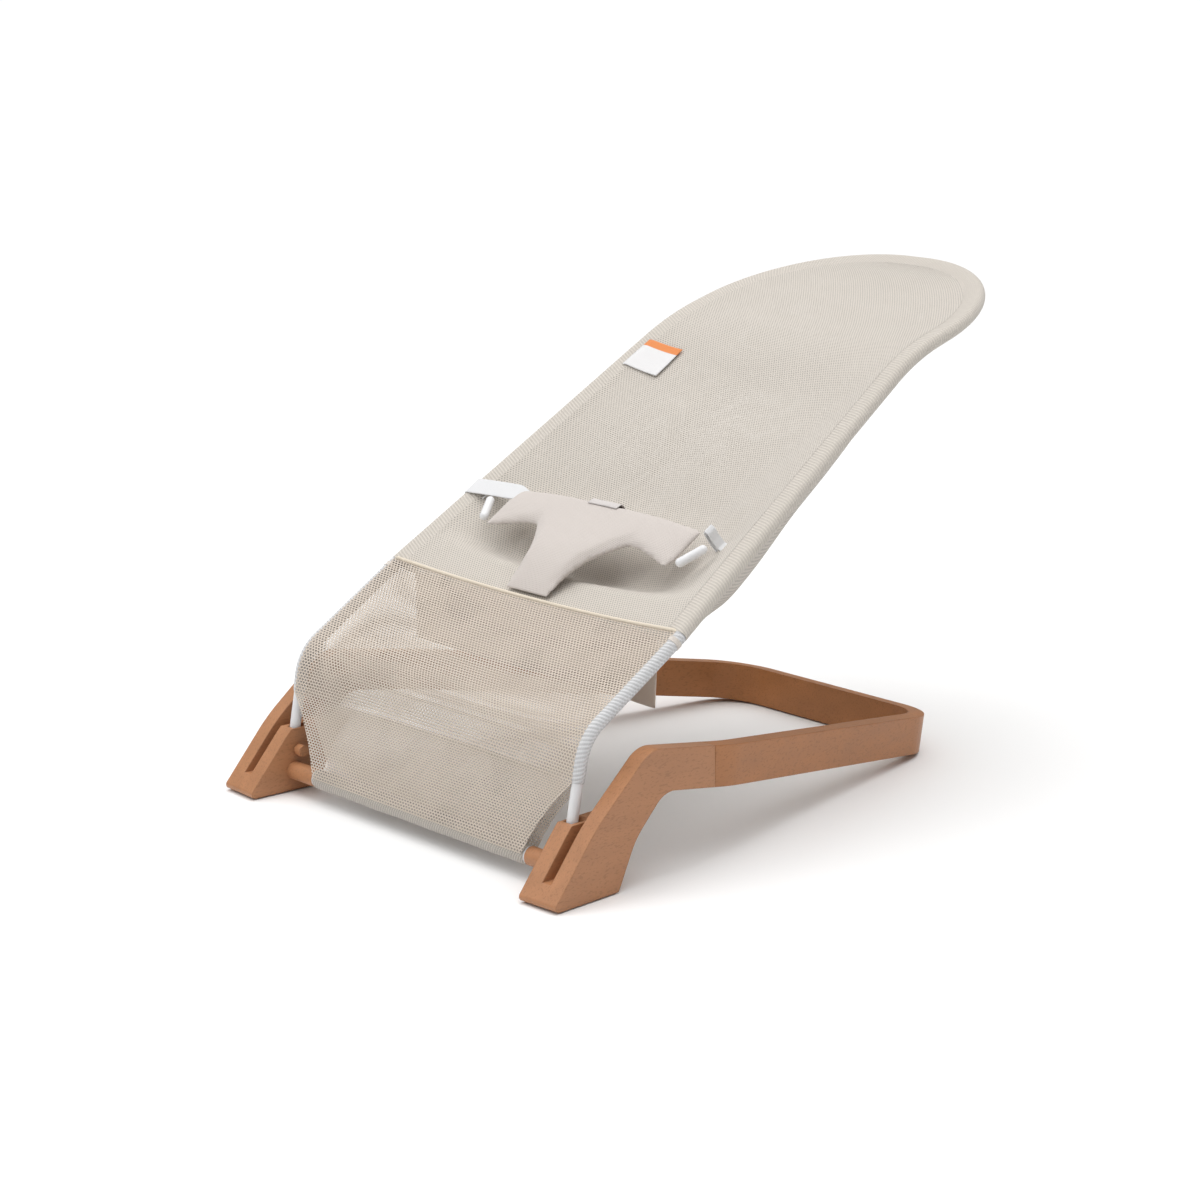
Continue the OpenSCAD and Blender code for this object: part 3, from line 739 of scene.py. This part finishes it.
def make_harness():
    """Padded waist belt and crotch strap in one: a rounded section between the two edges."""
    sizes = bpy.context.scene.bouncer_sizes
    dense = np.linspace(-1, 1, 150)
    x = PAD_HALF * dense * 0.999
    angle = np.linspace(0, 2 * math.pi, 72, endpoint=False)
    low, high = (e[:, None] for e in harness_edges(x))
    s = low + (high - low) * (0.5 - 0.5 * np.cos(angle))
    swell = np.sign(np.sin(angle)) * np.abs(np.sin(angle)) ** 0.6
    ends = np.clip(1 - np.abs(dense) ** 14, 0, 1)[:, None] ** 0.5
    thin = 0.3 + 0.7 * np.clip(s / (34 * MM), 0, 1)
    n = harness_rise(x[:, None], s) + 0.5 * sizes.pad_thickness * 0.8 * swell * ends * thin
    lean = -STRAP_LEAN * np.clip(1 - s / (80 * MM), 0, 1)
    points = seat_point(x[:, None] + lean, s, n)
    weave = np.zeros((len(x), len(angle) + 1, 2))
    piece = add_mesh("harness_pad", points, weave, closed=True)
    tidy(piece, 0.05 * MM)
    puff(piece)
    lay_weave(piece)
    dress(piece, "pad_knit", "mesh_cloth", "harness", "waist_pad", "crotch_strap")


def puff(piece):
    """Voxel remesh, then a short cloth run under pressure, with each point's travel capped."""
    modifier(piece, "REMESH", mode="VOXEL", voxel_size=2.6 * MM)
    apply_modifiers(piece)
    start = read_points(piece.data)
    cloth = modifier(piece, "CLOTH")
    cloth.settings.use_pressure = True
    cloth.settings.uniform_pressure_force = 4
    cloth.settings.effector_weights.gravity = 0
    cloth.settings.quality = 6
    frames = 20
    cloth.point_cache.frame_start = 1
    cloth.point_cache.frame_end = frames
    scene = bpy.context.scene
    for step in range(1, frames + 1):
        scene.frame_set(step)
    apply_modifiers(piece)
    scene.frame_set(1)
    move = read_points(piece.data) - start
    size = np.linalg.norm(move, axis=1, keepdims=True)
    cap = 2.2 * MM
    write_points(piece.data, start + move * np.minimum(1, cap / np.maximum(size, 1e-9)))
    piece.data.polygons.foreach_set("use_smooth", np.ones(len(piece.data.polygons), bool))
    modifier(piece, "SMOOTH", factor=0.5, iterations=3)
    apply_modifiers(piece)


def read_points(mesh):
    flat = np.empty(len(mesh.vertices) * 3, np.float32)
    mesh.vertices.foreach_get("co", flat)
    return flat.reshape(-1, 3).astype(float)


def write_points(mesh, points):
    mesh.vertices.foreach_set("co", points.astype(np.float32).reshape(-1))
    mesh.update()


def apply_modifiers(piece):
    """Replaces the mesh by its evaluated copy and drops the modifiers."""
    graph = bpy.context.evaluated_depsgraph_get()
    graph.update()
    made = bpy.data.meshes.new_from_object(piece.evaluated_get(graph))
    piece.modifiers.clear()
    piece.data = made


def lay_weave(piece):
    """Weave map in seat axes: x across, and the distance along the rails."""
    mesh = piece.data
    points = read_points(mesh)
    flat = np.stack([points[:, 0], (points - SEAM) @ RAIL_ALONG], 1)
    corner = np.empty(len(mesh.loops), np.int32)
    mesh.loops.foreach_get("vertex_index", corner)
    layer = mesh.uv_layers.get("weave") or mesh.uv_layers.new(name="weave")
    layer.data.foreach_set("uv", flat[corner].astype(np.float32).reshape(-1))
    mesh.polygons.foreach_set("use_smooth", np.ones(len(mesh.polygons), bool))


def band_piece(name, line, middle, side, replaced, share=1.0, taper=0.3):
    """Flat webbing along a line of (x, n) points, its width along the rails.

    Share is how much of the webbing's width it keeps, and taper how much its start narrows.
    """
    width = bpy.context.scene.bouncer_sizes.webbing_width * share
    line, reach = evenly(np.column_stack([line, 0 * line[:, 0]]), 1.2 * MM)
    across = np.linspace(-0.5, 0.5, 9)
    narrow = 1 - taper * np.exp(-(reach / (9 * MM)) ** 2)
    s = middle + width * narrow[:, None] * across[None, :]
    points = seat_point(side * line[:, :1] + 0 * s, s, line[:, 1:2] + 0 * s)
    weave = np.stack(np.broadcast_arrays(width * across[None, :], reach[:, None]), -1)
    piece = add_mesh(name, points, weave)
    modifier(piece, "SOLIDIFY", thickness=1.3 * MM, offset=0)
    modifier(piece, "BEVEL", width=0.4 * MM, segments=2)
    dress(piece, "webbing", "white_webbing", "seat_upper", replaced)


def make_webbing():
    """Left webbing goes over the rail and round it; the right one comes up through the cloth."""
    low, high = corners_of("left_belt_loop")
    middle = float(((low + high) / 2 - SEAM) @ RAIL_ALONG)
    centre = rail_x(middle)
    ring = SLEEVE_R + 1.2 * MM
    turn = np.linspace(math.radians(96), math.radians(-150), 40)
    loop = np.stack([centre + ring * np.cos(turn), ring * np.sin(turn)], 1)
    start = np.array([[106, 9], [116, 11.5], [138, 10.5], [160, 9.0]]) * MM
    back = np.array([[centre - 15 * MM, 0], [centre - 24 * MM, 6 * MM]])
    around = np.concatenate([start, loop, back])
    band_piece("left_webbing", around, middle - 5 * MM, -1, "left_belt_loop", 0.8)
    rise = np.array([[140, -12], [136, -4], [134, 4], [133, 12], [135, 15], [138, 12], [139, 4], [142, -4],
                     [150, -9], [168, -11]]) * MM
    band_piece("right_webbing", rise, middle, 1, "right_belt_loop", 0.4, 0)


def make_label():
    """Blank tape label that lies on the seat's top layer beside the left rail."""
    width = bpy.context.scene.bouncer_sizes.label_width
    low, high = corners_of("care_label")
    middle = float(((low + high) / 2 - SEAM) @ RAIL_ALONG)
    v = np.linspace(-0.5, 0.5, 24)[:, None] * LABEL_HEIGHT
    u = np.linspace(0, 1, 24)[None, :] * width
    s = middle + v + 0 * u
    x = -rail_x(s) + 9 * MM + u
    w = np.clip(x / (rail_x(s) - STRIP), -1, 1)
    n = SLEEVE_R - 0.4 * MM - seat_sag(s) * (1 - np.abs(w) ** SAG_POWER) - folds(x, s) * (1 - w**4)
    n = n + 1.2 * MM * (u / width) ** 3
    points = seat_point(x, s, n)
    weave = np.stack(np.broadcast_arrays(u, v + LABEL_HEIGHT / 2), -1)
    piece = add_mesh("blank_label", points, weave)
    modifier(piece, "SOLIDIFY", thickness=0.4 * MM, offset=0)
    dress(piece, "label", "white_label", "seat_upper", "care_label")


def make_tag():
    """Narrow tape folded over the middle of the pad's upper edge."""
    x = np.linspace(-19 * MM, 19 * MM, 30)[:, None]
    fold = np.linspace(0, 1, 20)[None, :]
    _, high = harness_edges(x)
    half = 5.824 * MM
    turn = math.pi * (fold - 0.5)
    s = high - 5.2 * MM + 3.6 * MM * np.cos(turn) - 5 * MM * np.clip(np.abs(fold - 0.5) - 0.3, 0, 1) * 5
    n = harness_rise(x, s) + half * np.sin(turn)
    points = seat_point(x + 0 * s, s, n)
    weave = np.stack(np.broadcast_arrays(x, fold * 14 * MM), -1)
    piece = add_mesh("folded_tag", points, weave)
    modifier(piece, "SOLIDIFY", thickness=0.5 * MM, offset=1)
    dress(piece, "tag", "plain_cloth", "harness", "belt_tag")


# ---- stage ----

CAMERA_AT = (1.85496, -1.81160, 0.80866)
CAMERA_AZIMUTH = 47.07
CAMERA_ELEVATION = 13.93
CAMERA_LENS = 84.888
FLOOR_REACH = 70.0
HORIZON = 0.10  # brightness of the sky at the horizon
ZENITH = 2.72  # brightness of the sky overhead
STEEPNESS = 3  # power of the height that the sky's brightness follows


def make_camera():
    data = bpy.data.cameras.new("camera")
    data.lens = CAMERA_LENS
    data.sensor_width = 36
    data.clip_end = 100
    camera = bpy.data.objects.new("camera", data)
    camera.location = CAMERA_AT
    camera.rotation_euler = (math.radians(90 - CAMERA_ELEVATION), 0, math.radians(CAMERA_AZIMUTH))
    bpy.context.scene.collection.objects.link(camera)
    bpy.context.scene.camera = camera


def softbox(name, place, size, power):
    """Square lamp that faces the seat."""
    data = bpy.data.lights.new(name, "AREA")
    data.size = size
    data.energy = power
    lamp = bpy.data.objects.new(name, data)
    lamp.location = place
    aim = np.array([0, 0, 0.15]) - np.array(place)
    lamp.rotation_euler = (math.atan2(math.hypot(aim[0], aim[1]), -aim[2]), 0, math.atan2(-aim[0], aim[1]))
    bpy.context.scene.collection.objects.link(lamp)


def make_floor():
    reach = np.array([-FLOOR_REACH, FLOOR_REACH])
    points = np.stack(np.broadcast_arrays(reach[None, :], reach[:, None], 0.0), -1)
    floor = add_mesh("floor", points, points[..., :2])
    f = Finish("floor", roughness=0.95, specular_ior_level=0.05)
    f.set("Base Color", f.blend(f.noise(3), (0.90, 0.90, 0.90), (0.91, 0.91, 0.91)))
    floor.data.materials.append(f.material)


def make_light():
    """Pale studio: a sky that is bright overhead and dim at the horizon, and two softboxes."""
    world = bpy.data.worlds.new("studio")
    world.use_nodes = True
    tree = world.node_tree
    where = tree.nodes.new("ShaderNodeTexCoord")
    split = tree.nodes.new("ShaderNodeSeparateXYZ")
    height = tree.nodes.new("ShaderNodeMapRange")
    height.inputs["To Min"].default_value = HORIZON
    height.inputs["To Max"].default_value = ZENITH
    tree.links.new(where.outputs["Generated"], split.inputs[0])
    steep = tree.nodes.new("ShaderNodeMath")
    steep.operation = "POWER"
    steep.use_clamp = True
    steep.inputs[1].default_value = STEEPNESS
    tree.links.new(split.outputs[2], steep.inputs[0])
    tree.links.new(steep.outputs[0], height.inputs["Value"])
    tree.links.new(height.outputs[0], tree.nodes["Background"].inputs["Strength"])
    tree.nodes["Background"].inputs["Color"].default_value = (1, 1, 1, 1)
    bpy.context.scene.world = world
    bpy.context.scene.view_settings.view_transform = "Standard"
    softbox("overhead", (-0.6, 0.7, 2.2), 1.6, 6)
    softbox("front", (-0.9, -2.2, 1.5), 1.2, 10)


# ---- operators ----


def dress_cad_nodes():
    for finish, nodes in CAD_FINISHES.items():
        for node in nodes:
            mesh = frame["nodes"][node].data
            mesh.materials.clear()
            mesh.materials.append(FINISHES[finish])


class BOUNCER_OT_stage(bpy.types.Operator):
    """Makes the camera, floor and lamps"""

    bl_idname = "bouncer.stage"
    bl_label = "Stage"

    def execute(self, context):
        make_camera()
        make_floor()
        make_light()
        return {"FINISHED"}


class BOUNCER_OT_finishes(bpy.types.Operator):
    """Makes the materials and puts them on the frame's pieces"""

    bl_idname = "bouncer.finishes"
    bl_label = "Finishes"

    def execute(self, context):
        make_finishes()
        dress_cad_nodes()
        return {"FINISHED"}


class BOUNCER_OT_seat(bpy.types.Operator):
    """Makes the upper cover and its sleeve round the hoop"""

    bl_idname = "bouncer.seat"
    bl_label = "Seat cover"

    def execute(self, context):
        make_hoop_sleeve()
        make_seat_cover()
        return {"FINISHED"}


class BOUNCER_OT_front(bpy.types.Operator):
    """Makes the front panel, its sleeves, the hem, the seam cord and the flap"""

    bl_idname = "bouncer.front"
    bl_label = "Front cover"

    def execute(self, context):
        make_front_cover()
        make_front_sleeves()
        make_hem()
        make_binding()
        make_flap()
        return {"FINISHED"}


class BOUNCER_OT_harness(bpy.types.Operator):
    """Makes the padded waist belt with its crotch strap, and the folded tag"""

    bl_idname = "bouncer.harness"
    bl_label = "Harness"

    def execute(self, context):
        make_harness()
        make_tag()
        return {"FINISHED"}


class BOUNCER_OT_trim(bpy.types.Operator):
    """Makes the webbing round the rails and the blank label"""

    bl_idname = "bouncer.trim"
    bl_label = "Trim"

    def execute(self, context):
        make_webbing()
        make_label()
        return {"FINISHED"}


OPERATORS = (BOUNCER_OT_stage, BOUNCER_OT_finishes, BOUNCER_OT_seat, BOUNCER_OT_front, BOUNCER_OT_harness,
             BOUNCER_OT_trim)


class BOUNCER_PT_panel(bpy.types.Panel):
    """Lists the build steps"""

    bl_label = "Bouncer seat"
    bl_idname = "BOUNCER_PT_panel"
    bl_space_type = "VIEW_3D"
    bl_region_type = "UI"
    bl_category = "Bouncer"

    def draw(self, context):
        for name in BouncerSizes.__annotations__:
            self.layout.prop(context.scene.bouncer_sizes, name)
        for name in BouncerColours.__annotations__:
            self.layout.prop(context.scene.bouncer_colours, name)
        for operator in OPERATORS:
            self.layout.operator(operator.bl_idname)


CLASSES = (BouncerSizes, BouncerColours, *OPERATORS, BOUNCER_PT_panel)


def register():
    for kind in CLASSES:
        bpy.utils.register_class(kind)
    bpy.types.Scene.bouncer_sizes = PointerProperty(type=BouncerSizes)
    bpy.types.Scene.bouncer_colours = PointerProperty(type=BouncerColours)


def unregister():
    del bpy.types.Scene.bouncer_colours
    del bpy.types.Scene.bouncer_sizes
    for kind in reversed(CLASSES):
        bpy.utils.unregister_class(kind)


def main():
    register()
    bpy.ops.bouncer.stage()
    bpy.ops.bouncer.finishes()
    bpy.ops.bouncer.seat()
    bpy.ops.bouncer.front()
    bpy.ops.bouncer.harness()
    bpy.ops.bouncer.trim()


if __name__ == "__main__":
    main()
